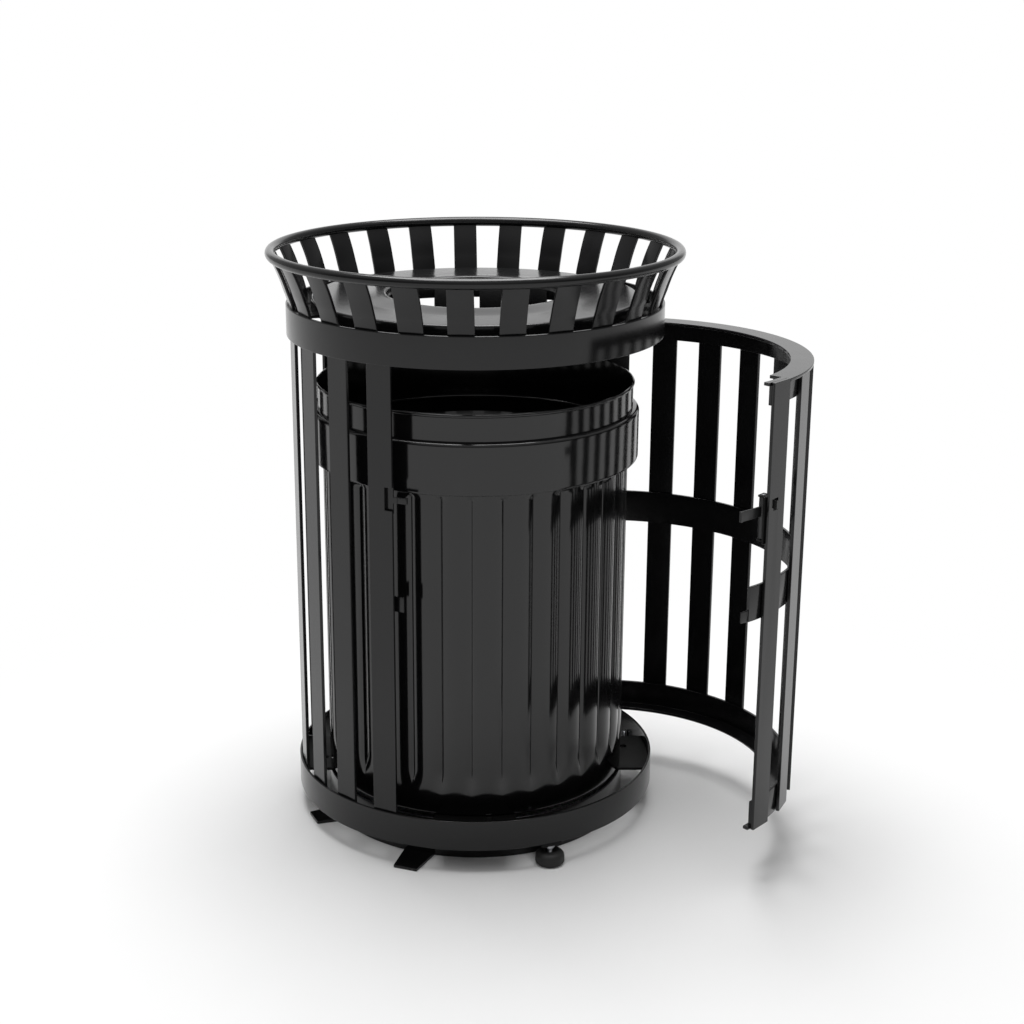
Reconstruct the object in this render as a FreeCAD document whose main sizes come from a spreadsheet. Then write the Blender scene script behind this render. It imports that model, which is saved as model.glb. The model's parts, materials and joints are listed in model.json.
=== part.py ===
import FreeCAD, Part
import math
import os

import Sketcher

# Slatted steel litter bin with a side door, a spun lid and a lift-out liner.
# Millimetres, +Z up. The origin is on the floor, on the axis of the round body.
# Azimuths are in degrees about +Z from +X. The front of the bin faces -Y.
# The door is drawn closed and then swung open about its hinge to its rest pose.

Vector, Rotation, Placement = FreeCAD.Vector, FreeCAD.Rotation, FreeCAD.Placement
UP = Vector(0, 0, 1)
FULL_TURN = 360

DIMENSIONS = {
    # round body
    "slat_circle": 299.5,        # radius that the long edges of the slats reach
    "slat_width": 42.0,
    "slat_thickness": 5.5,
    "band_wall": 5.5,
    "band_bottom": 817.0,
    "band_top": 867.4,
    "base_wall": 4.0,
    "base_bottom": 38.1,
    "base_top": 88.4,
    "slat_bottom": 72.0,
    "slat_top": 842.0,
    # base under the liner
    "cross_bottom": 67.0,
    "cross_top": 72.0,
    "cross_width": 132.0,
    "anchor_circle": 260.0,
    "anchor_hole": 6.0,
    "plinth_radius": 253.5,
    "plinth_wall": 4.0,
    "plinth_bottom": 0.0,
    "tab_root_width": 52.0,
    "tab_tip_width": 40.0,
    "tab_thickness": 5.0,
    # levelling feet
    "foot_circle": 294.5,
    "foot_radius": 23.5,
    "foot_height": 22.0,
    "foot_edge": 3.0,
    "foot_socket": 10.0,
    "stud_radius": 4.0,
    "stud_top": 58.0,
    "nut_radius": 7.5,
    "nut_height": 6.0,
    "lug_thickness": 5.0,
    "lug_width": 36.0,
    # flared crown and rim
    "flare_width": 40.0,
    "flare_thickness": 5.0,
    "flare_foot": 844.0,
    "flare_bend": 868.0,
    "rim_radius": 327.3,
    "rim_height": 947.7,
    "rim_tube": 8.2,
    "clip_inner": 252.0,
    "clip_width": 30.0,
    "clip_bottom": 851.0,
    "clip_thickness": 4.6,
    # lid
    "lid_radius": 265.0,
    "lid_top": 876.0,
    "lid_skirt": 856.0,
    "lid_sheet": 2.0,
    "lid_edge": 3.0,
    "lid_bead_foot": 183.0,
    "lid_bead_rise": 5.0,
    "lid_hole": 143.0,
    "lid_hole_lip": 868.0,
    # liner
    "liner_bottom": 72.4,
    "liner_radius": 251.3,
    "liner_sheet": 2.0,
    "liner_corner": 8.0,
    "liner_step": 606.0,
    "neck_radius": 258.0,
    "liner_top": 739.4,
    "liner_lip": 2.0,
    "collar_radius": 268.0,
    "collar_bottom": 613.8,
    "collar_top": 695.4,
    "bag_ring_height": 648.0,
    "bag_ring_tube": 3.0,
    # door
    "door_bottom": 92.0,
    "door_top": 806.0,
    "rail_plate": 5.0,
    "flange_inner": 264.0,
    "finger_width": 10.0,
    "top_rail_height": 35.0,
    "mid_rail_bottom": 443.0,
    "mid_rail_height": 55.0,
    "bottom_rail_height": 46.0,
    "catch_hook_drop": 18.0,
    # hinge
    "hinge_circle": 263.8,
    "hinge_pin": 4.0,
    "hinge_bush": 6.5,
    "hinge_collar": 9.0,
    "hinge_ear": 10.0,
    "hinge_plate": 5.0,
    "hinge_head": 7.0,
    "hinge_head_height": 4.0,
    "bush_brim": 1.6,
    "running_gap": 0.05,         # radial clearance of pins and studs in their holes
    "working_gap": 0.4,          # clearance between pieces that slide past each other
    # latch
    "latch_plate": 3.0,
    "latch_bottom": 561.0,
    "latch_top": 633.0,
    "latch_ear_depth": 17.0,
    "latch_pin": 3.0,
    "latch_barrel": 6.0,
    "latch_circle": 281.0,
    "tongue_inner": 280.4,
    "tongue_strip": 2.4,
    "tongue_hook": 2.4,
    "tongue_bottom": 600.0,
    "tongue_top": 616.0,
    "thumb_bottom": 613.5,
    "thumb_top": 626.5,
    "thumb_reach": 303.0,
    "slot_bottom": 611.0,
    "slot_top": 629.0,
    # keeper and stop on the body's jamb slat
    "keeper_bottom": 586.0,
    "keeper_top": 634.0,
    "notch_bottom": 592.0,
    "notch_top": 628.0,
    "notch_depth": 13.0,
    "lip_inner": 291.4,
    "lip_bottom": 603.0,
    "lip_top": 613.0,
    "hook_inner": 288.6,
    "stop_bottom": 426.0,
    "stop_height": 25.0,
    "stop_inner": 284.0,
}

# Azimuths and spacings, in degrees.
BODY_JAMB_AZIMUTH = -119.0
BODY_SLAT_STEP = -15.65
BODY_SLATS = 12
DOOR_JAMB_AZIMUTH = -99.6
DOOR_SLAT_STEP = 15.93
DOOR_SLATS = 8
DOOR_OPEN_ANGLE = 58.0
HINGE_AZIMUTH = 32.0
DOOR_LEG_SPAN = (-103.4, 29.0)
DOOR_FLANGE_SPAN = (-95.5, HINGE_AZIMUTH)
DOOR_FINGER_SPAN = (-104.8, -95.0)
MID_RAIL_SPAN = (-109.0, 27.0)
CATCH_HOOK_SPAN = (-111.7, -108.9)
STOP_SPAN = (-117.5, -112.6)
TONGUE_SPAN = (-112.2, -102.0)
TONGUE_HOOK_SPAN = (-112.2, -111.6)
KEEPER_LIP_SPAN = (-114.0, -110.7)
KEEPER_HOOK_SPAN = (-111.15, -110.7)
FLARE_SLATS = 25
FLARE_START = 21.25
FLARE_GROUPS = 5
FOOT_AZIMUTHS = (-66.0, 24.0, 114.0, 159.0)
STABILIZER_TABS = ((-111.0, 314.0), (-157.0, 297.0), (69.0, 314.0))    # azimuth, reach in mm
ANCHOR_START = 5.0
QUARTER_TURN = 90


class Size:
    """A length with its value and the spreadsheet expression that gives it."""

    def __init__(self, value, text):
        self.value = value
        self.text = text

    def _join(self, other, sign, value):
        text = other.text if isinstance(other, Size) else repr(other)
        return Size(value, f"({self.text} {sign} {text})")

    def __add__(self, other):
        return self._join(other, "+", self.value + number(other))

    def __sub__(self, other):
        return self._join(other, "-", self.value - number(other))

    def __mul__(self, other):
        return self._join(other, "*", self.value * number(other))

    def __truediv__(self, other):
        return self._join(other, "/", self.value / number(other))

    def __neg__(self):
        return self * -1


def number(size):
    return size.value if isinstance(size, Size) else size


def root(size):
    return Size(math.sqrt(size.value), f"sqrt({size.text})")


doc = FreeCAD.newDocument("LitterBin")
sheet = doc.addObject("Spreadsheet::Sheet", "dims")
for row, (alias, length) in enumerate(DIMENSIONS.items(), start=1):
    sheet.set(f"A{row}", alias.replace("_", " "))
    sheet.set(f"B{row}", str(length))
    sheet.setAlias(f"B{row}", alias)
doc.recompute()
dim = {alias: Size(sheet.get(alias), f"dims.{alias}") for alias in DIMENSIONS}

nodes = {}


# ---------------------------------------------------------------- helpers

def turned(azimuth, x=0, y=0, z=0):
    """Placement of a piece drawn at azimuth 0: X is radial, Y tangential."""
    shift = Placement(Vector(number(x), number(y), number(z)), Rotation())
    return Placement(Vector(), Rotation(UP, azimuth)).multiply(shift)


def bind(obj, **sizes):
    """Set properties and tie each one to its spreadsheet expression."""
    for name, size in sizes.items():
        setattr(obj, name, number(size))
        if isinstance(size, Size):
            obj.setExpression(name, size.text)


def add(kind, name):
    obj = doc.addObject(kind, name)
    obj.Label = name
    return obj


def keep(obj, label, placement=None):
    """Register a finished piece under its node name."""
    obj.Label = label
    if placement is not None:
        obj.Placement = placement.multiply(obj.Placement)
    nodes[label] = obj
    return obj


def block(name, azimuth, radial, tangential, vertical):
    """Box between two limits each way, radially outwards at an azimuth."""
    box = add("Part::Box", name)
    spans = {"Length": radial, "Width": tangential, "Height": vertical}
    bind(box, **{prop: high - low for prop, (low, high) in spans.items()})
    box.Placement = turned(azimuth, radial[0], tangential[0], vertical[0])
    return box


def rod(name, radius, low, high, placement=None, angle=FULL_TURN):
    """Upright cylinder, or a sector of one, from low to high."""
    cylinder = add("Part::Cylinder", name)
    bind(cylinder, Radius=radius, Height=high - low, Angle=angle)
    lift = Placement(Vector(0, 0, number(low)), Rotation())
    cylinder.Placement = lift if placement is None else placement.multiply(lift)
    return cylinder


def cut(name, base, *tools):
    """Base less its tools."""
    for index, tool in enumerate(tools):
        result = add("Part::Cut", f"{name}_cut{index}")
        result.Base = base
        result.Tool = tool
        base = result
    return base


def fuse(name, *pieces):
    result = add("Part::MultiFuse", name)
    result.Shapes = list(pieces)
    result.Refine = True
    return result


def group(name, pieces):
    result = add("Part::Compound", name)
    result.Links = list(pieces)
    return result


def arc_bar(name, inner, outer, low, high, span=(0, FULL_TURN)):
    """Flat bar rolled round the bin's axis, between two azimuths."""
    overlap = 1.0
    start, end = span
    solid = rod(f"{name}_outer", outer, low, high, turned(start), end - start)
    hollow = rod(f"{name}_inner", inner, low - overlap, high + overlap)
    return cut(name, solid, hollow)


def tube(name, inner, outer, low, high, placement):
    """Upright round tube, such as a bush or a washer."""
    overlap = 1.0
    solid = rod(f"{name}_outer", outer, low, high, placement)
    hollow = rod(f"{name}_inner", inner, low - overlap, high + overlap, placement)
    return cut(name, solid, hollow)


def new_body(name):
    return add("PartDesign::Body", f"{name}_body")


def outline(body, name, plane_role, points):
    """Closed polygon sketch whose every corner is tied to the spreadsheet."""
    sketch = body.newObject("Sketcher::SketchObject", f"{name}_sketch")
    plane = next(f for f in body.Origin.OriginFeatures if f.Role == plane_role)
    sketch.AttachmentSupport = [(plane, "")]
    sketch.MapMode = "FlatFace"
    corners = [Vector(number(x), number(y), 0) for x, y in points]
    count = len(corners)
    for index, corner in enumerate(corners):
        following = corners[(index + 1) % count]
        sketch.addGeometry(Part.LineSegment(corner, following), False)
    for index in range(count):
        following = (index + 1) % count
        sketch.addConstraint(Sketcher.Constraint("Coincident", index, 2, following, 1))
    for index, point in enumerate(points):
        for kind, size, axis in (("DistanceX", point[0], -2), ("DistanceY", point[1], -1)):
            tie_corner(sketch, index, kind, size, axis)
    return sketch


def tie_corner(sketch, index, kind, size, axis):
    """Hold one coordinate of a corner, on the axis or at its distance from it."""
    if number(size) == 0:
        sketch.addConstraint(Sketcher.Constraint("PointOnObject", index, 1, axis))
        return
    constraint = Sketcher.Constraint(kind, -1, 1, index, 1, number(size))
    position = sketch.addConstraint(constraint)
    if isinstance(size, Size):
        sketch.setExpression(f"Constraints[{position}]", size.text)


def spun(name, points):
    """Body turned from a profile of (radius, height) corners."""
    body = new_body(name)
    sketch = outline(body, name, "XZ_Plane", points)
    turn = body.newObject("PartDesign::Revolution", f"{name}_turn")
    turn.Profile = sketch
    turn.ReferenceAxis = (sketch, ["V_Axis"])
    turn.Angle = FULL_TURN
    sketch.Visibility = False
    return body


def pressed(name, plane_role, points, length, midplane=False):
    """Body padded from a flat outline."""
    body = new_body(name)
    sketch = outline(body, name, plane_role, points)
    pad = body.newObject("PartDesign::Pad", f"{name}_pad")
    pad.Profile = sketch
    pad.Midplane = midplane
    bind(pad, Length=length)
    return body


def hinge_place():
    centre = Vector(number(dim["hinge_circle"]), 0, 0)
    return turned(HINGE_AZIMUTH, centre.x)


def swing():
    """Movement that takes the closed door to its rest pose."""
    pivot = hinge_place().Base
    return Placement(Vector(), Rotation(UP, DOOR_OPEN_ANGLE), pivot)


# ---------------------------------------------------------------- sections

slat_face = root(dim["slat_circle"] * dim["slat_circle"]
                 - dim["slat_width"] * dim["slat_width"] / 4)
slat_back = slat_face - dim["slat_thickness"]
half_slat = dim["slat_width"] / 2
flare_face = root(dim["slat_circle"] * dim["slat_circle"]
                  - dim["flare_width"] * dim["flare_width"] / 4)


def slat(name, azimuth, low, high):
    """Flat bar standing on edge to the bin's axis, with its back at slat_back."""
    return block(name, azimuth, (slat_back, slat_face),
                 (-half_slat, half_slat), (low, high))


def make_rings():
    """Base ring, plinth ring and top band, each a rolled flat bar."""
    circle = dim["slat_circle"]
    keep(arc_bar("base_ring", circle, circle + dim["base_wall"],
                 dim["base_bottom"], dim["base_top"]), "base_ring")
    keep(arc_bar("top_band", circle, circle + dim["band_wall"],
                 dim["band_bottom"], dim["band_top"]), "top_band")
    keep(arc_bar("plinth_ring", dim["plinth_radius"] - dim["plinth_wall"],
                 dim["plinth_radius"], dim["plinth_bottom"], dim["cross_bottom"]),
         "plinth_ring")


def make_base_cross():
    """Two wide flat arms that cross under the liner, with an anchor hole in each end."""
    reach = dim["slat_circle"]
    half = dim["cross_width"] / 2
    heights = (dim["cross_bottom"], dim["cross_top"])
    arms = [block(f"cross_arm_{index}", QUARTER_TURN * index,
                  (-reach, reach), (-half, half), heights)
            for index in range(2)]
    trimmed = add("Part::Common", "cross_trimmed")
    trimmed.Base = fuse("cross_arms", *arms)
    trimmed.Tool = rod("cross_limit", reach, *heights)
    holes = [rod(f"anchor_hole_{index}", dim["anchor_hole"],
                 dim["cross_bottom"] - 1, dim["cross_top"] + 1,
                 turned(ANCHOR_START + QUARTER_TURN * index, dim["anchor_circle"]))
             for index in range(4)]
    keep(cut("base_cross", trimmed, *holes), "base_cross")


def make_stabilizer_tabs():
    """Tapered flat tabs that reach out from the foot of the plinth."""
    radius, thickness = dim["plinth_radius"], dim["tab_thickness"]
    root_x = radius - dim["plinth_wall"]
    root_y, tip_y = dim["tab_root_width"] / 2, dim["tab_tip_width"] / 2
    tabs = []
    for index, (azimuth, reach) in enumerate(STABILIZER_TABS):
        corners = [(root_x, -root_y), (reach, -tip_y), (reach, tip_y), (root_x, root_y)]
        blank = pressed(f"tab_blank_{index}", "XY_Plane", corners, thickness)
        blank.Placement = turned(azimuth, 0, 0, dim["plinth_bottom"])
        plinth = rod(f"tab_plinth_{index}", radius, -1, thickness + 1)
        tabs.append(cut(f"tab_{index}", blank, plinth))
    keep(group("stabilizer_tabs", tabs), "stabilizer_tabs")


def make_feet():
    """Levelling feet: moulded pad, stud, jam nut and the lug that carries them."""
    circle, gap = dim["foot_circle"], dim["running_gap"]
    lug_top = dim["base_bottom"]
    lug_bottom = lug_top - dim["lug_thickness"]
    nut_bottom = lug_bottom - dim["nut_height"]
    half = dim["lug_width"] / 2
    reach = dim["slat_circle"] + dim["base_wall"]
    lugs, nuts = [], []
    for index, azimuth in enumerate(FOOT_AZIMUTHS):
        place = turned(azimuth, circle)
        plate = block(f"lug_plate_{index}", azimuth,
                      (dim["plinth_radius"] - dim["plinth_wall"], reach),
                      (-half, half), (lug_bottom, lug_top))
        plinth = rod(f"lug_plinth_{index}", dim["plinth_radius"], lug_bottom - 1, lug_top + 1)
        bore = rod(f"lug_bore_{index}", dim["stud_radius"] + gap,
                   lug_bottom - 1, lug_top + 1, place)
        lugs.append(cut(f"lug_{index}", plate, bore, plinth))
        hexagon = add("Part::Prism", f"nut_hexagon_{index}")
        hexagon.Polygon = 6
        bind(hexagon, Circumradius=dim["nut_radius"], Height=dim["nut_height"])
        hexagon.Placement = turned(azimuth, circle, 0, nut_bottom)
        thread = rod(f"nut_bore_{index}", dim["stud_radius"] + gap,
                     nut_bottom - 1, lug_bottom + 1, place)
        nuts.append(cut(f"nut_{index}", hexagon, thread))
        make_foot(index + 1, place)
    keep(group("foot_lugs", lugs), "foot_lugs")
    keep(group("foot_jam_nuts", nuts), "foot_jam_nuts")


def make_foot(index, place):
    """One foot: a chamfered rubber pad with a socket, and the stud held in it."""
    radius, height, edge = dim["foot_radius"], dim["foot_height"], dim["foot_edge"]
    floor, stud = dim["foot_socket"], dim["stud_radius"]
    pad = spun(f"foot_pad_{index}", [
        (0, 0), (radius - edge, 0), (radius, edge), (radius, height - edge),
        (radius - edge, height), (stud, height), (stud, floor), (0, floor)])
    keep(pad, f"foot_pad_{index}", place)
    keep(rod(f"foot_stud_{index}", stud, floor, dim["stud_top"], place),
         f"foot_stud_{index}")


def make_body_slats():
    """Fixed slats between the base ring and the band, and the latch-side jamb."""
    low, high = dim["slat_bottom"], dim["slat_top"]
    jamb = slat("jamb_bar", BODY_JAMB_AZIMUTH, low, high)
    notch = block("jamb_notch_tool", BODY_JAMB_AZIMUTH,
                  (slat_back - 1, slat_face + 1),
                  (half_slat - dim["notch_depth"], half_slat + 1),
                  (dim["notch_bottom"], dim["notch_top"]))
    keep(cut("body_jamb_slat", jamb, notch), "body_jamb_slat")
    for index in range(1, BODY_SLATS + 1):
        azimuth = BODY_JAMB_AZIMUTH + BODY_SLAT_STEP * index
        keep(slat(f"body_slat_{index:02d}", azimuth, low, high), f"body_slat_{index:02d}")


def make_crown():
    """Flared slats of the crown, in groups, with the tubular rim on top."""
    lean_x = dim["rim_radius"] - (flare_face - dim["flare_thickness"] / 2)
    lean_z = dim["rim_height"] - dim["flare_bend"]
    lean = root(lean_x * lean_x + lean_z * lean_z)
    weld_gap = 0.3
    reach = lean - dim["rim_tube"] - weld_gap
    middle = flare_face - dim["flare_thickness"] / 2
    half = dim["flare_thickness"] / 2
    tip_x = middle + lean_x / lean * reach
    tip_z = dim["flare_bend"] + lean_z / lean * reach
    side_x, side_z = lean_z / lean * half, lean_x / lean * half
    # where the offset of the straight leg meets the offset of the upright leg
    mitre = half * (lean - lean_z) / lean_x
    corners = [
        (flare_face - dim["flare_thickness"], dim["flare_foot"]),
        (flare_face, dim["flare_foot"]),
        (flare_face, dim["flare_bend"] - mitre),
        (tip_x + side_x, tip_z - side_z),
        (tip_x - side_x, tip_z + side_z),
        (flare_face - dim["flare_thickness"], dim["flare_bend"] + mitre)]
    bars = []
    for index in range(FLARE_SLATS):
        bar = pressed(f"flare_bar_{index}", "XZ_Plane", corners, dim["flare_width"], True)
        bar.Placement = turned(FLARE_START + FULL_TURN / FLARE_SLATS * index)
        bars.append(bar)
    per_group = FLARE_SLATS // FLARE_GROUPS
    for index in range(FLARE_GROUPS):
        members = bars[index * per_group:(index + 1) * per_group]
        keep(group(f"flare_slats_{index + 1}", members), f"flare_slats_{index + 1}")
    rim = add("Part::Torus", "top_rim")
    bind(rim, Radius1=dim["rim_radius"], Radius2=dim["rim_tube"])
    rim.Placement = turned(0, 0, 0, dim["rim_height"])
    keep(rim, "top_rim")


def make_lid_clips():
    """Five flat clips inside the band that the lid's skirt stands on."""
    half = dim["clip_width"] / 2
    back = flare_face - dim["flare_thickness"]
    step = FULL_TURN / FLARE_SLATS
    clips = [block(f"lid_clip_{index}", FLARE_START + step * (2 + 5 * index),
                   (dim["clip_inner"], back), (-half, half),
                   (dim["clip_bottom"], dim["clip_bottom"] + dim["clip_thickness"]))
             for index in range(5)]
    keep(group("lid_clips", clips), "lid_clips")


def make_lid():
    """Spun lid: flat top, turned-down skirt, and a raised bead round the hole."""
    sheet_metal, edge = dim["lid_sheet"], dim["lid_edge"]
    radius, top, hole = dim["lid_radius"], dim["lid_top"], dim["lid_hole"]
    crest = top + dim["lid_bead_rise"]
    body = spun("lid_panel", [
        (radius, dim["lid_skirt"]), (radius, top - edge), (radius - edge, top),
        (dim["lid_bead_foot"], top), (hole + edge, crest), (hole, crest - sheet_metal),
        (hole, dim["lid_hole_lip"]), (hole + sheet_metal, dim["lid_hole_lip"]),
        (hole + sheet_metal, crest - edge - 1), (hole + edge + 1, crest - sheet_metal),
        (dim["lid_bead_foot"], top - sheet_metal), (radius - edge - 1, top - sheet_metal),
        (radius - sheet_metal, top - edge - 1), (radius - sheet_metal, dim["lid_skirt"])])
    keep(body, "lid_panel")


def make_liner():
    """Round can with a stepped neck, a channel collar round it and a bag ring inside."""
    wall, radius, neck = dim["liner_sheet"], dim["liner_radius"], dim["neck_radius"]
    bottom, corner, top = dim["liner_bottom"], dim["liner_corner"], dim["liner_top"]
    step, lip = dim["liner_step"], dim["liner_lip"]
    shell = spun("liner_shell", [
        (0, bottom), (radius - corner, bottom), (radius, bottom + corner), (radius, step),
        (neck, dim["collar_bottom"]), (neck, top - lip * 3), (neck + lip, top - lip * 2),
        (neck + lip, top - lip / 2), (neck, top), (neck - wall, top),
        (neck - wall, dim["collar_bottom"] + wall / 2), (radius - wall, step + wall / 2),
        (radius - wall, bottom + corner + wall / 2), (radius - corner - wall / 2, bottom + wall),
        (0, bottom + wall)])
    keep(shell, "liner_shell")
    outer, low, high = dim["collar_radius"], dim["collar_bottom"], dim["collar_top"]
    collar = spun("liner_collar", [
        (neck, low), (outer, low), (outer, high - wall), (outer - wall, high), (neck, high),
        (neck, high - wall), (outer - wall * 2, high - wall), (outer - wall, high - wall * 2),
        (outer - wall, low + wall), (neck, low + wall)])
    keep(collar, "liner_collar")
    ring = add("Part::Torus", "liner_bag_ring")
    bind(ring, Radius1=neck - wall - dim["bag_ring_tube"], Radius2=dim["bag_ring_tube"])
    ring.Placement = turned(0, 0, 0, dim["bag_ring_height"])
    keep(ring, "liner_bag_ring")


def make_hinge_on_frame():
    """Upper and lower tabs on the frame, each with a headed pin, and a thrust washer."""
    place = hinge_place()
    plate, ear = dim["hinge_plate"], dim["hinge_ear"]
    pin, head, head_height = dim["hinge_pin"], dim["hinge_head"], dim["hinge_head_height"]
    band, ring, spare = dim["band_bottom"], dim["base_top"], 2.0
    upper_end, lower_end = band + plate, ring - plate
    tabs = []
    for side, low, high in (("top", band, upper_end), ("bottom", lower_end, ring)):
        arm = block(f"hinge_arm_{side}", HINGE_AZIMUTH,
                    (dim["hinge_circle"], dim["slat_circle"] + 1), (-ear, ear), (low, high))
        blank = fuse(f"hinge_tab_{side}_blank", arm, rod(f"hinge_nose_{side}", ear, low, high, place))
        trimmed = add("Part::Common", f"hinge_tab_{side}_trimmed")
        trimmed.Base = blank
        trimmed.Tool = rod(f"hinge_limit_{side}", dim["slat_circle"], low, high)
        bore = rod(f"hinge_tab_{side}_bore", pin, low - 1, high + 1, place)
        tabs.append(cut(f"hinge_tab_{side}", trimmed, bore))
    keep(group("hinge_tabs", tabs), "hinge_tabs")
    top_pin = fuse(
        "hinge_pin_top",
        rod("top_shank", pin, dim["door_top"] - plate - spare, upper_end, place),
        rod("top_head", head, upper_end, upper_end + head_height, place))
    bottom_pin = fuse(
        "hinge_pin_bottom",
        rod("bottom_shank", pin, lower_end, dim["door_bottom"] + plate + spare, place),
        rod("bottom_head", head, lower_end - head_height, lower_end, place))
    keep(group("hinge_pins", [top_pin, bottom_pin]), "hinge_pins")
    bearing = dim["door_bottom"] - dim["bush_brim"] - dim["working_gap"]
    keep(tube("hinge_washer", pin, dim["hinge_collar"], ring, bearing, place), "hinge_washer")


def make_keeper():
    """Keeper that the latch hooks behind, and the door stop, on the body's jamb slat."""
    plate = dim["latch_plate"]
    back_inner = slat_back - plate
    back = block("keeper_back", BODY_JAMB_AZIMUTH, (back_inner, slat_back),
                 (0.0, half_slat - 1), (dim["keeper_bottom"], dim["keeper_top"]))
    lip_heights = (dim["lip_bottom"], dim["lip_top"])
    lip = arc_bar("keeper_lip", dim["lip_inner"], slat_back, *lip_heights, KEEPER_LIP_SPAN)
    foot = block("keeper_foot", BODY_JAMB_AZIMUTH, (dim["lip_inner"], slat_back),
                 (half_slat - 2, half_slat + 6), lip_heights)
    hook = arc_bar("keeper_hook", dim["hook_inner"], dim["lip_inner"] + 1, *lip_heights,
                   KEEPER_HOOK_SPAN)
    keep(fuse("latch_keeper", back, foot, lip, hook), "latch_keeper")
    heights = (dim["stop_bottom"], dim["stop_bottom"] + dim["stop_height"])
    foot_inner, foot_outer, tongue_outer = 4.0, 12.0, dim["stop_inner"] + plate
    foot = block("stop_foot", BODY_JAMB_AZIMUTH, (dim["stop_inner"] + 1, slat_back),
                 (foot_inner, foot_outer), heights)
    tongue = arc_bar("stop_tongue", dim["stop_inner"], tongue_outer, *heights, STOP_SPAN)
    keep(fuse("door_stop", foot, tongue), "door_stop")


def make_door_rails(move):
    """Angle rails at top and bottom, with hinge ears, and a flat rail between.

    The top rail's flange also covers the tops of the slats.
    """
    place = hinge_place()
    leg_inner = slat_back - dim["rail_plate"]
    plate, top, bottom = dim["rail_plate"], dim["door_top"], dim["door_bottom"]
    levels = {
        "top": ((top - plate, top), (top - dim["top_rail_height"], top - plate),
                dim["slat_circle"]),
        "bottom": ((bottom, bottom + plate), (bottom + plate, bottom + dim["bottom_rail_height"]),
                   slat_back)}
    for side, (flange_z, leg_z, flange_outer) in levels.items():
        flange = arc_bar(f"{side}_flange", dim["flange_inner"], flange_outer, *flange_z,
                         DOOR_FLANGE_SPAN)
        finger = arc_bar(f"{side}_finger", slat_back - dim["finger_width"], slat_back, *flange_z,
                         DOOR_FINGER_SPAN)
        leg = arc_bar(f"{side}_leg", leg_inner, slat_back, *leg_z, DOOR_LEG_SPAN)
        ear = rod(f"{side}_ear", dim["hinge_ear"], *flange_z, place)
        bore = rod(f"{side}_bush_bore", dim["hinge_bush"], flange_z[0] - 1, flange_z[1] + 1, place)
        blank = fuse(f"{side}_rail_blank", flange, finger, leg, ear)
        keep(cut(f"door_{side}_rail", blank, bore), f"door_{side}_rail", move)
    mid_bottom = dim["mid_rail_bottom"]
    mid_top = mid_bottom + dim["mid_rail_height"]
    rail = arc_bar("mid_rail_bar", leg_inner, slat_back, mid_bottom, mid_top, MID_RAIL_SPAN)
    hook = arc_bar("catch_hook", leg_inner, leg_inner + dim["latch_plate"], mid_bottom,
                   mid_bottom + dim["catch_hook_drop"], CATCH_HOOK_SPAN)
    keep(fuse("door_mid_rail", rail, hook), "door_mid_rail", move)


def make_door_slats(move):
    """Door slats outside the rails; the jamb slat is slotted for the thumb tab."""
    low, high = dim["door_bottom"], dim["door_top"]
    jamb = slat("door_jamb_bar", DOOR_JAMB_AZIMUTH, low, high)
    slot_left, slot_right = -9.0, 3.0
    slot = block("thumb_slot", DOOR_JAMB_AZIMUTH, (slat_back - 1, slat_face + 1),
                 (slot_left, slot_right), (dim["slot_bottom"], dim["slot_top"]))
    keep(cut("door_jamb_slat", jamb, slot), "door_jamb_slat", move)
    for index in range(1, DOOR_SLATS + 1):
        azimuth = DOOR_JAMB_AZIMUTH + DOOR_SLAT_STEP * index
        bar = slat(f"door_slat_{index}", azimuth, low, high - dim["rail_plate"])
        keep(bar, f"door_slat_{index}", move)


def make_hinge_on_door(move):
    """Flanged bushes pressed into the ears of the door's rails."""
    place = hinge_place()
    plate, brim = dim["rail_plate"], dim["bush_brim"]
    bore = dim["hinge_pin"] + dim["running_gap"]
    top, bottom, spare = dim["door_top"], dim["door_bottom"], 10.0
    bushes = []
    for side, sleeve_z, brim_z in (
            ("top", (top - plate, top), (top, top + brim)),
            ("bottom", (bottom, bottom + plate), (bottom - brim, bottom))):
        sleeve = rod(f"{side}_sleeve", dim["hinge_bush"], *sleeve_z, place)
        collar = rod(f"{side}_brim", dim["hinge_collar"], *brim_z, place)
        hole = rod(f"{side}_bush_hole", bore, bottom - spare, top + spare, place)
        bushes.append(cut(f"hinge_bush_{side}", fuse(f"{side}_bush_blank", sleeve, collar), hole))
    keep(group("hinge_bushes", bushes), "hinge_bushes", move)


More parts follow.
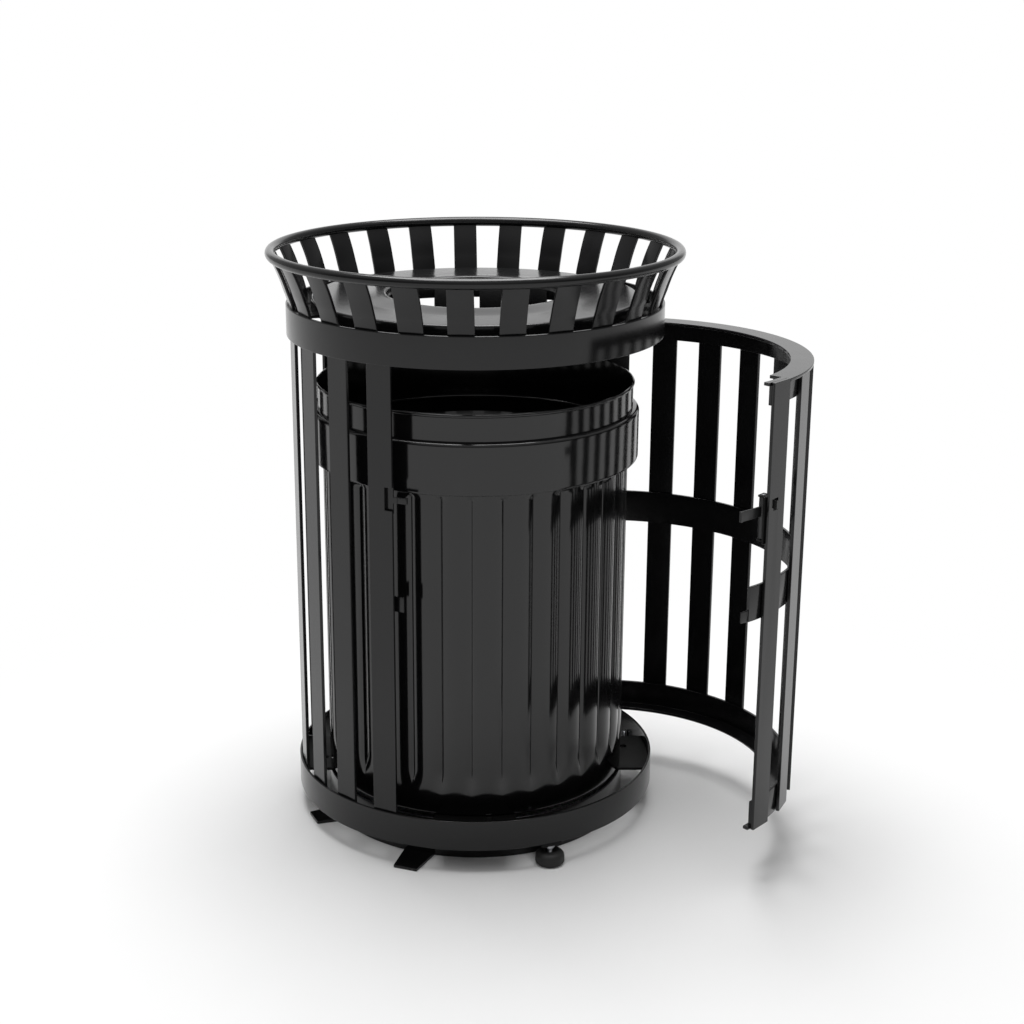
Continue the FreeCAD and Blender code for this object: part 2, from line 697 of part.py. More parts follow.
def make_latch(move):
    """Bracket behind the door's jamb slat, the pin in it, and the hooked thumb lever."""
    plate, gap = dim["latch_plate"], dim["working_gap"]
    low, high, circle = dim["latch_bottom"], dim["latch_top"], dim["latch_circle"]
    pin_offset = -10.0
    place = turned(DOOR_JAMB_AZIMUTH, circle, pin_offset)
    bracket_edge, slot_side, ear_half = -25.0, -9.5, 8.0
    back = block("latch_back", DOOR_JAMB_AZIMUTH, (slat_back - plate, slat_back),
                 (bracket_edge, slot_side), (low, high))
    ear_inner = slat_back - dim["latch_ear_depth"]
    ears = [block(f"latch_ear_{name}", DOOR_JAMB_AZIMUTH, (ear_inner, slat_back - plate),
                  (pin_offset - ear_half, pin_offset + ear_half), heights)
            for name, heights in (("low", (low, low + plate)), ("high", (high - plate, high)))]
    bore = rod("latch_bracket_bore", dim["latch_pin"], low - 1, high + 1, place)
    keep(cut("latch_bracket", fuse("latch_bracket_blank", back, *ears), bore),
         "latch_bracket", move)
    keep(rod("latch_pin", dim["latch_pin"], low, high, place), "latch_pin", move)
    barrel = rod("lever_barrel", dim["latch_barrel"], low + plate + gap, high - plate - gap, place)
    tongue_z = (dim["tongue_bottom"], dim["tongue_top"])
    inner, outer = dim["tongue_inner"], dim["tongue_inner"] + dim["tongue_strip"]
    tongue = arc_bar("tongue", inner, outer, *tongue_z, TONGUE_SPAN)
    hook = arc_bar("tongue_hook", inner, outer + dim["tongue_hook"], *tongue_z, TONGUE_HOOK_SPAN)
    thumb_z = (dim["thumb_bottom"], dim["thumb_top"])
    thumb_left, thumb_right = -6.5, -3.5
    thumb = block("thumb_tab", DOOR_JAMB_AZIMUTH, (circle, dim["thumb_reach"]),
                  (thumb_left, thumb_right), thumb_z)
    hole = rod("lever_bore", dim["latch_pin"] + dim["running_gap"], low, high, place)
    lever = cut("latch_lever", fuse("lever_blank", barrel, tongue, hook, thumb), hole)
    keep(lever, "latch_lever", move)


def check_and_export():
    """Stop on any failed object or bad shape, then write one STEP file for each node."""
    doc.recompute()
    failed = [obj.Name for obj in doc.Objects
              if "Invalid" in obj.State or "Error" in obj.State]
    if failed:
        raise RuntimeError(f"failed objects: {failed}")
    os.makedirs("parts", exist_ok=True)
    for label, obj in nodes.items():
        shape = obj.Shape
        if shape.isNull() or not shape.isValid() or not shape.Solids:
            raise RuntimeError(f"bad shape: {label}")
        shape.exportStep(f"parts/{label}.step")
        volume = shape.Volume / 1000
        print(f"{label:22s} solids {len(shape.Solids):2d}  {volume:9.2f} cm3")
    print(f"{len(nodes)} nodes")


make_rings()
make_base_cross()
make_stabilizer_tabs()
make_feet()
make_body_slats()
make_crown()
make_lid_clips()
make_lid()
make_liner()
make_hinge_on_frame()
make_keeper()
doc.recompute()
door_move = swing()
make_door_rails(door_move)
make_door_slats(door_move)
make_hinge_on_door(door_move)
make_latch(door_move)
check_and_export()
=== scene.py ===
import json
import math

import bmesh
import bpy
import numpy as np
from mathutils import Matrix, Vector


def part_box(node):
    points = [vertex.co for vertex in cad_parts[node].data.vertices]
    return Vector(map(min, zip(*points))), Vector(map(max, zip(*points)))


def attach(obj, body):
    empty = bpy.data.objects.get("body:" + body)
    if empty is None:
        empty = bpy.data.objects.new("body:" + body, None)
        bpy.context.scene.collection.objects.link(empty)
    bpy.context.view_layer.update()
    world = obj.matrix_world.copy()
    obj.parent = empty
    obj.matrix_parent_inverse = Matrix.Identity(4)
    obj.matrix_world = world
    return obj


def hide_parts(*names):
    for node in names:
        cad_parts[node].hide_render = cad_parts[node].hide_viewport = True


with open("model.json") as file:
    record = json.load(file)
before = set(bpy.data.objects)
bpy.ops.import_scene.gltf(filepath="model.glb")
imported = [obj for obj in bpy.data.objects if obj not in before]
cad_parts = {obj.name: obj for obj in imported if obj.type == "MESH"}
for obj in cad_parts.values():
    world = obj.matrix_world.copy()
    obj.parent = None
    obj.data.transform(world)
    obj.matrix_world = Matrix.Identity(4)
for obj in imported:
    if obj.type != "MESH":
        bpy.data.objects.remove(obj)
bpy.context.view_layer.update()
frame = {"nodes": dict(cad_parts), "record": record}

# The looks of a slatted steel litter bin. Metres, +Z up, the floor at z = 0 and the
# bin's axis at x = y = 0. The front faces -Y, and the side door stands half open.

MM = 0.001
FULL_TURN = 2 * math.pi


# ---------------------------------------------------------------- node trees

class Nodes:
    """Short ways to add nodes to the node tree of a material or of the world."""

    def __init__(self, owner):
        owner.use_nodes = True
        self.tree = owner.node_tree

    def add(self, kind, **properties):
        node = self.tree.nodes.new(kind)
        for name, value in properties.items():
            setattr(node, name, value)
        return node

    def link(self, output, target):
        self.tree.links.new(output, target)

    def ramp(self, value, stops):
        """Colours along a 0 to 1 value. Each stop is a position and a colour."""
        node = self.add("ShaderNodeValToRGB")
        elements = node.color_ramp.elements
        while len(elements) < len(stops):
            elements.new(0.5)
        for element, (position, colour) in zip(elements, stops):
            element.position = position
            element.color = (*colour, 1)
        self.link(value, node.inputs["Fac"])
        return node.outputs["Color"]

    def mapped(self, value, source, target, **properties):
        """Map a value from the source span onto the target span."""
        node = self.add("ShaderNodeMapRange", **properties)
        node.inputs["From Min"].default_value, node.inputs["From Max"].default_value = source
        node.inputs["To Min"].default_value, node.inputs["To Max"].default_value = target
        self.link(value, node.inputs["Value"])
        return node.outputs["Result"]

    def fade(self, value, start, end):
        """0 up to start and 1 from end, with a smooth change between them."""
        return self.mapped(value, (start, end), (0, 1), interpolation_type="SMOOTHSTEP")

    def towards_grey(self, factor, colour, grey):
        """The colour at factor 0 and a plain grey at factor 1."""
        node = self.add("ShaderNodeMix", data_type="RGBA")
        node.inputs["B"].default_value = (grey, grey, grey, 1)
        self.link(factor, node.inputs["Factor"])
        self.link(colour, node.inputs["A"])
        return node.outputs["Result"]


class Shader(Nodes):
    """A node material with a principled shader."""

    def __init__(self, name):
        self.material = bpy.data.materials.new(name)
        super().__init__(self.material)
        self.bsdf = self.tree.nodes["Principled BSDF"]
        self.coords = self.add("ShaderNodeTexCoord").outputs["Object"]

    def set(self, **values):
        for name, value in values.items():
            self.bsdf.inputs[name.replace("_", " ")].default_value = value

    def drive(self, **outputs):
        for name, output in outputs.items():
            self.link(output, self.bsdf.inputs[name.replace("_", " ")])

    def noise(self, scale, detail=3.0, roughness=0.5):
        node = self.add("ShaderNodeTexNoise")
        node.inputs["Scale"].default_value = scale
        node.inputs["Detail"].default_value = detail
        node.inputs["Roughness"].default_value = roughness
        self.link(self.coords, node.inputs["Vector"])
        return node.outputs["Fac"]

    def around(self, value, middle, least, most):
        """Spread a 0 to 1 value over least to most times the middle."""
        return self.mapped(value, (0, 1), (middle * least, middle * most))

    def bump(self, height, distance, over=None):
        node = self.add("ShaderNodeBump")
        node.inputs["Distance"].default_value = distance
        node.inputs["Strength"].default_value = 1.0
        self.link(height, node.inputs["Height"])
        if over is not None:
            self.link(over, node.inputs["Normal"])
        return node.outputs["Normal"]


# ---------------------------------------------------------------- camera, floor and light

CAMERA_PLACE = (0.0, -2.8715, 1.3861)
CAMERA_PITCH = 0.2967          # radians below the horizon
CAMERA_LENS = 63.13            # millimetres, on a 36 mm sensor
CAMERA_SHIFT = 0.0358          # the bin stands left of the picture's middle

FLOOR_HALF = 60.0
FLOOR_MIDDLE = (0.05, -0.25, 0)
FLOOR_MATTE = 0.45             # the floor is matte up to this distance from its middle
FLOOR_WHITE = 1.3              # and plain white from this one

# Tone of the studio round the bin, by azimuth in degrees; the camera is at -90.
STUDIO_WALLS = (
    (-180, 0.2), (-135, 0.12), (-100, 0.3), (-70, 0.3), (-40, 0.12), (10, 0.25), (60, 0.3),
    (70, 1.0), (110, 1.0), (120, 0.35))
CEILING = 0.6                  # tone of the studio overhead
CEILING_FADE = (0.35, 0.8)     # sine of the elevation where walls end and ceiling starts
BACKDROP = 1.0                 # tone that the camera sees behind everything

PANEL_PLACE = (-0.1, 0.32, 3.2)
PANEL_SIDE = 2.0
PANEL_POWER = 112              # watts


def make_camera():
    data = bpy.data.cameras.new("camera")
    data.lens = CAMERA_LENS
    data.sensor_width = 36.0
    data.shift_x = CAMERA_SHIFT
    data.clip_end = 200.0
    camera = bpy.data.objects.new("camera", data)
    camera.location = CAMERA_PLACE
    camera.rotation_euler = (math.pi / 2 - CAMERA_PITCH, 0.0, 0.0)
    bpy.context.collection.objects.link(camera)
    bpy.context.scene.camera = camera


def floor_paper():
    """Matte pale paper round the bin that fades to plain white away from it."""
    paper = Shader("studio_floor")
    paper.set(Roughness=0.9, Specular_IOR_Level=0.05)
    pale, paler = (0.8, 0.8, 0.8), (0.815, 0.815, 0.815)
    paper.drive(Base_Color=paper.ramp(paper.noise(3.0, 2.0), [(0.3, pale), (0.7, paler)]))
    distance = paper.add("ShaderNodeVectorMath", operation="DISTANCE")
    distance.inputs[1].default_value = FLOOR_MIDDLE
    paper.link(paper.coords, distance.inputs[0])
    blend = paper.add("ShaderNodeMixShader")
    paper.link(paper.fade(distance.outputs["Value"], FLOOR_MATTE, FLOOR_WHITE),
               blend.inputs["Fac"])
    paper.link(paper.bsdf.outputs["BSDF"], blend.inputs[1])
    paper.link(paper.add("ShaderNodeEmission").outputs["Emission"], blend.inputs[2])
    paper.link(blend.outputs["Shader"], paper.tree.nodes["Material Output"].inputs["Surface"])
    return paper.material


def make_floor():
    far = FLOOR_HALF
    mesh = bpy.data.meshes.new("studio_floor")
    mesh.from_pydata([(-far, -far, 0), (far, -far, 0), (far, far, 0), (-far, far, 0)],
                     [], [(0, 1, 2, 3)])
    mesh.materials.append(floor_paper())
    floor = bpy.data.objects.new("studio_floor", mesh)
    bpy.context.collection.objects.link(floor)


def make_world():
    """A dome of grey studio walls and ceiling, with a plain backdrop for the camera."""
    world = bpy.data.worlds.new("studio")
    bpy.context.scene.world = world
    dome = Nodes(world)
    axes = dome.add("ShaderNodeSeparateXYZ")
    dome.link(dome.add("ShaderNodeTexCoord").outputs["Generated"], axes.inputs["Vector"])
    azimuth = dome.add("ShaderNodeMath", operation="ARCTAN2")
    dome.link(axes.outputs["Y"], azimuth.inputs[0])
    dome.link(axes.outputs["X"], azimuth.inputs[1])
    turn = dome.mapped(azimuth.outputs["Value"], (-math.pi, math.pi), (0, 1))
    walls = dome.ramp(turn, [((degrees + 180) / 360, (tone, tone, tone))
                             for degrees, tone in STUDIO_WALLS])
    overhead = dome.fade(axes.outputs["Z"], *CEILING_FADE)
    studio = dome.towards_grey(overhead, walls, CEILING)
    seen = dome.add("ShaderNodeLightPath").outputs["Is Camera Ray"]
    dome.link(dome.towards_grey(seen, studio, BACKDROP),
              dome.tree.nodes["Background"].inputs["Color"])


def make_panel():
    """A soft square light above the bin, aimed at its foot."""
    data = bpy.data.lights.new("panel_above", "AREA")
    data.shape = "RECTANGLE"
    data.size = data.size_y = PANEL_SIDE
    data.energy = PANEL_POWER
    light = bpy.data.objects.new("panel_above", data)
    light.location = PANEL_PLACE
    light.rotation_euler = (-Vector(PANEL_PLACE)).to_track_quat("-Z", "Y").to_euler()
    bpy.context.collection.objects.link(light)


# ---------------------------------------------------------------- materials

def coated_steel(name, colour, rough, peel_depth, index):
    """Black powder coat: orange peel, faint waviness, patchy gloss and a trace of dust."""
    shader = Shader(name)
    shader.set(IOR=index)
    dust = tuple(channel * 2.4 + 0.002 for channel in colour)
    patches = shader.noise(7.0, 5.0, 0.6)
    smears = shader.noise(16.0, 6.0, 0.65)
    waves = shader.bump(shader.noise(26.0, 2.0), 0.00012)
    shader.drive(
        Base_Color=shader.ramp(patches, [(0.3, colour), (0.62, colour), (0.85, dust)]),
        Roughness=shader.around(smears, rough, 0.75, 1.3),
        Normal=shader.bump(shader.noise(420.0, 2.0, 0.4), peel_depth, waves))
    return shader.material


def rubber():
    """Black rubber with a fine grain and pale scuffs."""
    shader = Shader("foot_rubber")
    scuffs = shader.noise(45.0, 5.0, 0.7)
    clean, scuffed = (0.006, 0.006, 0.006), (0.02, 0.02, 0.019)
    shader.drive(
        Base_Color=shader.ramp(scuffs, [(0.35, clean), (0.75, scuffed)]),
        Roughness=shader.mapped(scuffs, (0, 1), (0.5, 0.75)),
        Normal=shader.bump(shader.noise(900.0, 4.0, 0.6), 0.0001))
    return shader.material


def bare_metal(name, colour, rough):
    """Metal with a haze that darkens it and changes its gloss."""
    shader = Shader(name)
    shader.set(Metallic=1.0)
    haze = shader.noise(120.0, 5.0, 0.65)
    darker = tuple(channel * 0.6 for channel in colour)
    shader.drive(
        Base_Color=shader.ramp(haze, [(0.3, darker), (0.65, colour)]),
        Roughness=shader.around(haze, rough, 0.7, 1.5),
        Normal=shader.bump(shader.noise(700.0, 3.0), 0.00003))
    return shader.material


# A coat has a name, a colour, a roughness, the depth of its orange peel and an index.
MATERIALS = {
    "frame_coat": coated_steel("frame_coat", (0.0042, 0.0042, 0.0045), 0.17, 0.000022, 1.42),
    "dull_coat": coated_steel("frame_coat_dull", (0.004, 0.004, 0.004), 0.45, 0.00004, 1.25),
    "worn_coat": coated_steel("frame_coat_worn", (0.012, 0.012, 0.0125), 0.42, 0.00003, 1.55),
    "liner_coat": coated_steel("liner_coat", (0.0036, 0.0036, 0.0038), 0.12, 0.000012, 1.5),
    "lid_coat": coated_steel("lid_coat", (0.0042, 0.0042, 0.0045), 0.2, 0.000014, 1.45),
    "foot_rubber": rubber(),
    "zinc_steel": bare_metal("zinc_steel", (0.62, 0.63, 0.66), 0.28),
    "bush_bronze": bare_metal("bush_bronze", (0.42, 0.27, 0.12), 0.35),
}


# ---------------------------------------------------------------- mesh helpers

def new_piece(name, shape, slot, body, replaced, smooth_angle=40.0):
    """A finished mesh piece: shaded, coated, riding on its body."""
    vertices, faces = shape
    mesh = bpy.data.meshes.new(name)
    mesh.from_pydata(vertices, [], faces)
    work = bmesh.new()
    work.from_mesh(mesh)
    bmesh.ops.recalc_face_normals(work, faces=work.faces)
    work.to_mesh(mesh)
    work.free()
    mesh.shade_smooth()
    mesh.set_sharp_from_angle(angle=math.radians(smooth_angle))
    mesh.materials.append(MATERIALS[slot])
    piece = bpy.data.objects.new(name, mesh)
    bpy.context.collection.objects.link(piece)
    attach(piece, body)
    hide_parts(*replaced)


def curve(start, corner, end, steps):
    """Points of a curve from start to end that is drawn towards a corner."""
    points = []
    for step in range(steps + 1):
        t = step / steps
        points.append(start * (1 - t) ** 2 + corner * 2 * t * (1 - t) + end * t ** 2)
    return points


def rounded(corners, steps=5):
    """A closed outline from (x, y, rounding) corners, each rounded off by that much."""
    places = [np.array(corner[:2], float) for corner in corners]
    outline = []
    for index, (here, corner) in enumerate(zip(places, corners)):
        rounding = corner[2]
        if rounding <= 0:
            outline.append(tuple(here))
            continue
        before = places[index - 1] - here
        after = places[(index + 1) % len(places)] - here
        reach = min(rounding, 0.48 * np.linalg.norm(before), 0.48 * np.linalg.norm(after))
        start = here + before / np.linalg.norm(before) * reach
        end = here + after / np.linalg.norm(after) * reach
        outline += [tuple(point) for point in curve(start, here, end, steps)]
    return outline


def rectangle(left, right, low, high, edge, steps=5):
    """A rectangular outline with its corners rounded off."""
    return rounded([(left, low, edge), (right, low, edge), (right, high, edge),
                    (left, high, edge)], steps)


def spin(outline, segments, closed=True, shape=None, centre=(0.0, 0.0)):
    """Vertices and faces of a (radius, height) outline turned about a vertical axis.

    shape(angle, radius, height) may change the radius. Points at radius 0 become poles.
    """
    vertices, rings = [], []
    for radius, height in outline:
        first = len(vertices)
        if radius < 1e-9:
            vertices.append((*centre, height))
            rings.append([first])
            continue
        for segment in range(segments):
            angle = FULL_TURN * segment / segments
            reach = shape(angle, radius, height) if shape else radius
            vertices.append((centre[0] + reach * math.cos(angle),
                             centre[1] + reach * math.sin(angle), height))
        rings.append(list(range(first, len(vertices))))
    faces = []
    next_rings = rings[1:] + rings[:1] if closed else rings[1:]
    for below, above in zip(rings, next_rings):
        for here in range(segments):
            there = (here + 1) % segments
            if len(below) == 1:
                faces.append((below[0], above[there], above[here]))
            elif len(above) == 1:
                faces.append((below[here], below[there], above[0]))
            else:
                faces.append((below[here], below[there], above[there], above[here]))
    return vertices, faces


def joined(parts):
    """One set of vertices and faces from several."""
    vertices, faces = [], []
    for part_vertices, part_faces in parts:
        offset = len(vertices)
        vertices += part_vertices
        faces += [tuple(index + offset for index in face) for face in part_faces]
    return vertices, faces


def spaced(start, stop, count):
    """Values from start to stop in equal steps."""
    return [start + (stop - start) * k / count for k in range(count + 1)]


def radius_of(node):
    """Outer radius of a round node."""
    low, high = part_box(node)
    return (high[0] - low[0]) / 2


def heights_of(node):
    low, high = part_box(node)
    return low[2], high[2]


# ---------------------------------------------------------------- rings

RING_SEGMENTS = 288
RING_EDGE = 1.5 * MM
RING_WALLS = {"top_band": 5.5 * MM, "base_ring": 4.0 * MM, "plinth_ring": 4.0 * MM}


def tube_ring(node, steps):
    """A round bar bent into a ring, which fills the box of the node."""
    low, high = heights_of(node)
    tube = (high - low) / 2
    middle = radius_of(node) - tube
    turns = [FULL_TURN * step / steps for step in range(steps)]
    outline = [(middle + tube * math.cos(turn), low + tube + tube * math.sin(turn))
               for turn in turns]
    return spin(outline, RING_SEGMENTS)


def make_rings():
    """Flat-bar rings with rolled edges, and the round rim."""
    for node, wall in RING_WALLS.items():
        outer = radius_of(node)
        outline = rectangle(outer - wall, outer, *heights_of(node), RING_EDGE)
        new_piece(f"{node}_steel", spin(outline, RING_SEGMENTS), "frame_coat", "frame", [node])
    new_piece("top_rim_tube", tube_ring("top_rim", 32), "frame_coat", "frame", ["top_rim"])


# ---------------------------------------------------------------- crown

FLARE_GROUPS = 5
FLARES_PER_GROUP = 5
FLARE_STEP = FULL_TURN / (FLARE_GROUPS * FLARES_PER_GROUP)
FLARE_START = math.radians(21.25)
FLARE_WIDTH = 40 * MM
FLARE_THICK = 5 * MM
FLARE_EDGE = 1 * MM
FLARE_BOW = 1.2 * MM           # how far the leaning part sags inwards


def flare_line():
    """Centre line of a flared slat in the (radius, height) plane, from foot to rim."""
    weld_gap, rim_bite = 0.8 * MM, 1.5 * MM
    bend_start, bend_reach, lean_steps = 16 * MM, 26 * MM, 8
    foot = heights_of("flare_slats_1")[0]
    band_top = heights_of("top_band")[1]
    rim_low, rim_high = heights_of("top_rim")
    upright = radius_of("top_band") - RING_WALLS["top_band"] - FLARE_THICK / 2 - weld_gap
    rim_tube = (rim_high - rim_low) / 2
    rim_middle = Vector((radius_of("top_rim") - rim_tube, (rim_low + rim_high) / 2))
    bend = Vector((upright, band_top + 1 * MM))
    lean = (rim_middle - bend).normalized()
    bend_end = bend + lean * bend_reach
    end = rim_middle - lean * (rim_tube - rim_bite)
    line = [Vector((upright, foot)), Vector((upright, bend.y - bend_start - 6 * MM))]
    line += curve(Vector((upright, bend.y - bend_start)), bend, bend_end, 14)
    for step in range(1, lean_steps + 1):
        t = step / lean_steps
        point = bend_end.lerp(end, t)
        point.x -= FLARE_BOW * math.sin(math.pi * t)
        line.append(point)
    return line


def flare_slat(line, angle):
    """A flat bar along a line in the (radius, height) plane, at one azimuth."""
    section = rectangle(-FLARE_THICK / 2, FLARE_THICK / 2, -FLARE_WIDTH / 2, FLARE_WIDTH / 2,
                        FLARE_EDGE, 3)
    count, last = len(section), len(line) - 1
    vertices, faces = [], []
    for index, point in enumerate(line):
        ahead = line[min(index + 1, last)] - line[max(index - 1, 0)]
        ahead.normalize()
        for across, along in section:
            radius = point.x + ahead.y * across
            height = point.y - ahead.x * across
            vertices.append((radius * math.cos(angle) - along * math.sin(angle),
                             radius * math.sin(angle) + along * math.cos(angle), height))
    for first in range(0, last * count, count):
        for here in range(count):
            there = (here + 1) % count
            faces.append((first + here, first + there,
                          first + count + there, first + count + here))
    faces += [tuple(range(count)), tuple(last * count + k for k in range(count))]
    return vertices, faces


def make_crown():
    line = flare_line()
    for group in range(FLARE_GROUPS):
        bars = [flare_slat(line, FLARE_START + FLARE_STEP * (group * FLARES_PER_GROUP + k))
                for k in range(FLARES_PER_GROUP)]
        new_piece(f"flare_bars_{group + 1}", joined(bars), "frame_coat", "frame",
                  [f"flare_slats_{group + 1}"])


# ---------------------------------------------------------------- lid

LID_TOP = 0.876
LID_HOLE = 0.143
LID_HOLE_FOOT = 0.868          # lower end of the collar round the hole
LID_BEAD = 0.183               # where the raised part round the hole starts
LID_BEAD_RISE = 1.6 * MM
LID_SHEET = 2.0 * MM


def make_lid():
    """Spun lid: a flat ring, a raised bead with a collar at the hole, and a skirt."""
    low, high = heights_of("lid_panel")
    outer = radius_of("lid_panel")
    inside = outer - LID_SHEET
    collar = LID_HOLE + LID_SHEET
    bead = LID_TOP + LID_BEAD_RISE
    outline = rounded([
        (outer, low, 0.8 * MM),
        (outer, LID_TOP, 4.5 * MM),
        (LID_BEAD + 6 * MM, LID_TOP, 6 * MM),
        (LID_BEAD - 8 * MM, bead, 6 * MM),
        (LID_HOLE + 8 * MM, high, 5 * MM),
        (LID_HOLE, high - 1 * MM, 4 * MM),
        (LID_HOLE, LID_HOLE_FOOT, 0.8 * MM),
        (collar, LID_HOLE_FOOT, 0.8 * MM),
        (collar, high - LID_SHEET - 1 * MM, 3 * MM),
        (LID_HOLE + 8 * MM, high - LID_SHEET, 4 * MM),
        (LID_BEAD - 8 * MM, bead - LID_SHEET, 6 * MM),
        (LID_BEAD + 6 * MM, LID_TOP - LID_SHEET, 6 * MM),
        (inside, LID_TOP - LID_SHEET, 3 * MM),
        (inside, low, 0.8 * MM)], 6)
    new_piece("lid_spun", spin(outline, RING_SEGMENTS), "lid_coat", "lid", ["lid_panel"])


# ---------------------------------------------------------------- liner

LINER_BODY = 0.2513            # radius outside the flutes
LINER_NECK = 0.258
LINER_WALL = 2.0 * MM
LINER_LIP = 2.0 * MM
FLUTES = 32
FLUTE_SEGMENTS = 28
FLUTE_DEPTH = 5.0 * MM
FLUTE_PHASE = math.radians(-90 - 1.3)
FLUTE_FOOT_FADE = (24 * MM, 64 * MM)
FLUTE_HEAD_FADE = 12 * MM
CREASE_DEPTH = 1.2 * MM
CREASE_WIDTH = 0.035           # of a flute


def smoothstep(value, low, high):
    t = min(max((value - low) / (high - low), 0.0), 1.0)
    return t * t * (3 - 2 * t)


def make_can():
    """Liner can: flutes with a crease between them, a plain neck and a rolled lip."""
    bottom, top = heights_of("liner_shell")
    collar_low = heights_of("liner_collar")[0]
    body, wall, neck, lip = LINER_BODY, LINER_WALL, LINER_NECK, LINER_LIP
    flute_low, flute_high = bottom + 10 * MM, collar_low - 2 * MM
    neck_foot = collar_low + 6 * MM
    dish, dish_edge, dish_height = 0.19, 0.2, bottom + 3 * MM

    def fluted(angle, radius, height):
        across = (angle - FLUTE_PHASE) / FULL_TURN * FLUTES % 1.0
        valley = (2 * across - 1) ** 2
        crease = max(0.0, 1 - min(across, 1 - across) / CREASE_WIDTH)
        foot = smoothstep(height - flute_low, *FLUTE_FOOT_FADE)
        head = 1 - smoothstep(height, flute_high - FLUTE_HEAD_FADE, flute_high)
        return radius - (FLUTE_DEPTH * valley + CREASE_DEPTH * crease) * foot * head

    rows = [*spaced(flute_low + 20 * MM, flute_low + 66 * MM, 12),
            *spaced(flute_low + 80 * MM, flute_high - 14 * MM, 6),
            *spaced(flute_high - FLUTE_HEAD_FADE, flute_high, 5)]
    outline = [(0.0, dish_height), (dish, dish_height), (dish_edge, bottom)]
    outline += rounded([(body - 9 * MM, bottom, 0), (body, bottom, 9 * MM),
                        (body, bottom + 9 * MM, 0)], 8)
    outline += [(body, row) for row in rows]
    outline += [(neck, neck_foot), (neck, top - 3 * lip)]
    outline += [(neck - wall / 2 + (lip + wall / 2) * math.sin(turn),
                 top - lip * 1.5 - lip * 1.5 * math.cos(turn))
                for turn in spaced(0.0, math.pi, 8)]
    outline += [(neck - wall, top - lip), (neck - wall, neck_foot)]
    outline += [(body - wall, row) for row in reversed(rows)]
    outline += [(body - wall, bottom + 10 * MM), (body - 10 * MM, bottom + wall),
                (dish_edge, bottom + wall), (dish, dish_height + wall),
                (0.0, dish_height + wall)]
    can = spin(outline, FLUTES * FLUTE_SEGMENTS, closed=False, shape=fluted)
    new_piece("liner_can", can, "liner_coat", "liner", ["liner_shell"], smooth_angle=35)


def make_sleeve():
    """Sheet collar round the neck, with a rounded shoulder."""
    low, high = heights_of("liner_collar")
    outer = radius_of("liner_collar")
    sheet, shoulder = 3 * MM, high - 3.5 * MM
    outline = rounded([
        (LINER_NECK, low, 0),
        (outer - 1 * MM, low, 2 * MM),
        (outer, low + sheet, 2 * MM),
        (outer, shoulder, 4 * MM),
        (outer - sheet, high, 4 * MM),
        (LINER_NECK + 2 * MM, high + 1 * MM, 1 * MM),
        (LINER_NECK, high + 1 * MM, 0),
        (LINER_NECK, shoulder - 4 * MM, 0),
        (outer - sheet, shoulder - 4 * MM, 2 * MM),
        (outer - sheet, low + sheet, 2 * MM),
        (LINER_NECK, low + sheet, 0)], 6)
    new_piece("liner_sleeve", spin(outline, RING_SEGMENTS), "liner_coat", "liner",
              ["liner_collar"])


def make_liner():
    make_can()
    make_sleeve()
    new_piece("liner_bag_wire", tube_ring("liner_bag_ring", 16), "liner_coat", "liner",
              ["liner_bag_ring"])


# ---------------------------------------------------------------- feet

FOOT_NUMBERS = (1, 2, 3, 4)
STUD_RADIUS = 4 * MM
THREAD_PITCH = 1.25 * MM
THREAD_DEPTH = 0.6 * MM
NUT_CORNER = 7.5 * MM
NUT_BORE = 4.05 * MM
NUT_CHAMFER = 0.9 * MM


def foot_centre(number):
    low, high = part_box(f"foot_pad_{number}")
    return ((low[0] + high[0]) / 2, (low[1] + high[1]) / 2)


def foot_pad(number):
    """Rubber pad with rounded shoulders and a shallow dip round the stud."""
    low, high = heights_of(f"foot_pad_{number}")
    stud_low = heights_of(f"foot_stud_{number}")[0]
    radius = radius_of(f"foot_pad_{number}")
    dip, dip_floor = 10 * MM, high - 2 * MM
    outline = rounded([
        (0, low, 0),
        (radius - 4 * MM, low, 1 * MM),
        (radius - 3 * MM, low + 1 * MM, 1 * MM),
        (radius, low + 4 * MM, 3 * MM),
        (radius, high - 5 * MM, 5 * MM),
        (radius - 5 * MM, high, 4 * MM),
        (dip, high, 1 * MM),
        (dip - 1.5 * MM, dip_floor, 1 * MM),
        (STUD_RADIUS, dip_floor, 0),
        (STUD_RADIUS, stud_low, 0),
        (0, stud_low, 0)])
    return spin(outline, 72, closed=False, centre=foot_centre(number))


def threaded_rod(centre, low, high):
    """A rod with a helical thread and a tapered end."""
    taper_length, taper_slope = 1.5 * MM, 0.7
    rows = int((high - low) / THREAD_PITCH * 8)
    outline = [(0.0, low)]
    outline += [(STUD_RADIUS, row) for row in spaced(low, high, rows)]
    outline.append((0.0, high))

    def thread(angle, radius, height):
        turn = (height / THREAD_PITCH - angle / FULL_TURN) % 1.0
        groove = abs(turn - 0.5) * 2
        taper = max(0.0, height - (high - taper_length)) * taper_slope
        return radius - THREAD_DEPTH * groove - taper

    return spin(outline, 32, closed=False, shape=thread, centre=centre)


def make_feet():
    for number in FOOT_NUMBERS:
        body = f"foot_{number}"
        new_piece(f"foot_pad_rubber_{number}", foot_pad(number), "foot_rubber", body,
                  [f"foot_pad_{number}"])
        rod = threaded_rod(foot_centre(number), *heights_of(f"foot_stud_{number}"))
        new_piece(f"foot_screw_{number}", rod, "zinc_steel", body, [f"foot_stud_{number}"], 60)


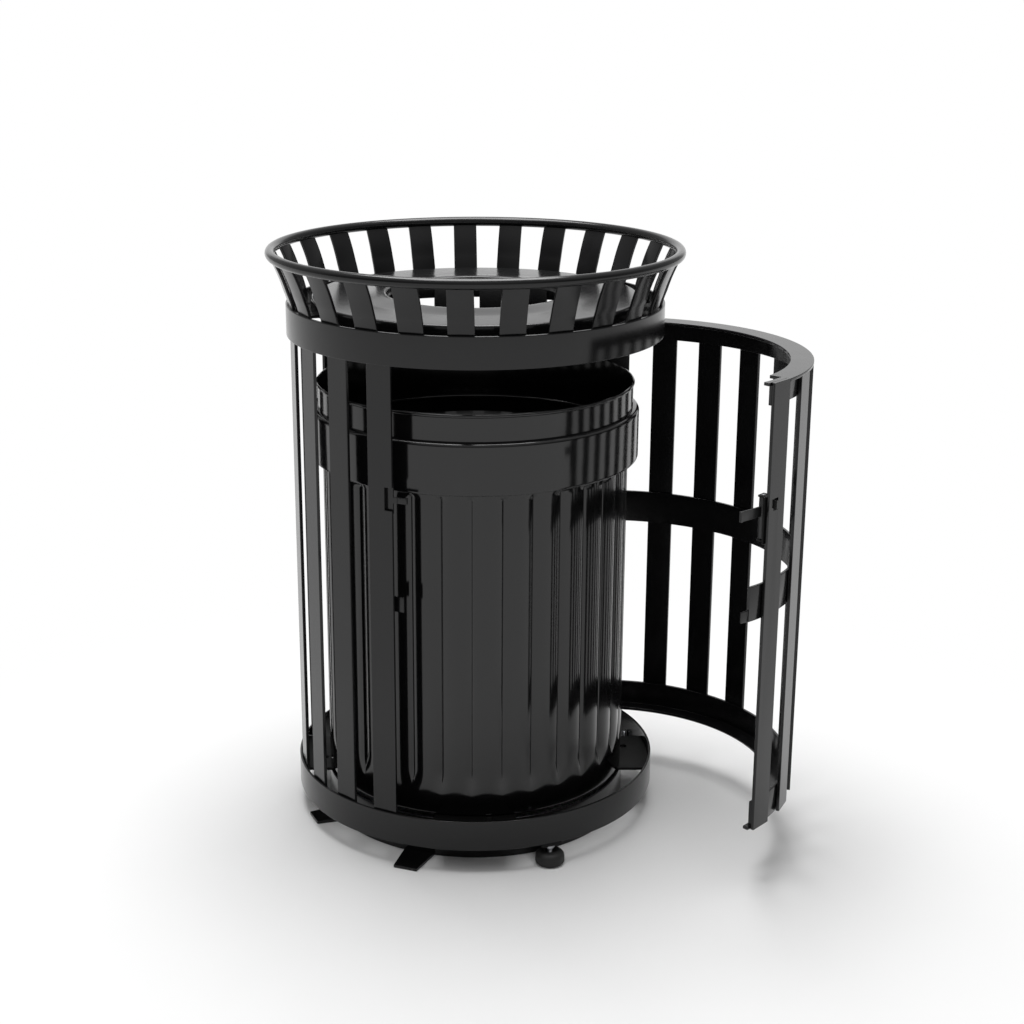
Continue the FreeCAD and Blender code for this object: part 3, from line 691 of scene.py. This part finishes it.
def make_nuts():
    """Chamfered hexagon nuts under the lugs."""
    low, high = heights_of("foot_jam_nuts")
    lead = 0.5 * MM
    rows = [low, low + NUT_CHAMFER / 2, low + NUT_CHAMFER,
            high - NUT_CHAMFER, high - NUT_CHAMFER / 2, high]
    outline = [(NUT_BORE + lead, low), *[(NUT_CORNER, row) for row in rows],
               (NUT_BORE + lead, high), (NUT_BORE, high - lead), (NUT_BORE, low + lead)]

    def hexagon(angle, radius, height):
        if radius < NUT_CORNER:
            return radius
        flat = NUT_CORNER * math.cos(math.pi / 6)
        side = flat / math.cos((angle % (math.pi / 3)) - math.pi / 6)
        end = min(height - low, high - height)
        return min(side, flat + end / NUT_CHAMFER * (NUT_CORNER - flat))

    nuts = [spin(outline, 72, shape=hexagon, centre=foot_centre(number))
            for number in FOOT_NUMBERS]
    new_piece("jam_nuts", joined(nuts), "zinc_steel", "frame", ["foot_jam_nuts"], 25)


# ---------------------------------------------------------------- CAD nodes that stay

# Nodes with a finish of their own: thin and dusty behind the slats, worn on the lever.
FINISHES = {"base_cross": "dull_coat", "foot_lugs": "dull_coat", "lid_clips": "dull_coat",
            "latch_bracket": "dull_coat", "latch_lever": "worn_coat"}


def finish_cad_nodes():
    """Broken edges and a material for every CAD node."""
    record_slots = {row["node"]: row["material_slot"] for row in frame["record"]["subparts"]}
    for node, obj in frame["nodes"].items():
        obj.data.materials.clear()
        obj.data.materials.append(MATERIALS[FINISHES.get(node, record_slots[node])])
        weld = obj.modifiers.new("weld", "WELD")
        weld.merge_threshold = 0.01 * MM
        bevel = obj.modifiers.new("bevel", "BEVEL")
        bevel.width = 0.9 * MM
        bevel.segments = 3
        bevel.limit_method = "ANGLE"
        bevel.angle_limit = math.radians(35)
        bevel.harden_normals = True
        bevel.use_clamp_overlap = True


bpy.context.scene.view_settings.view_transform = "Standard"
make_camera()
make_floor()
make_world()
make_panel()
make_rings()
make_crown()
make_lid()
make_liner()
make_feet()
make_nuts()
finish_cad_nodes()
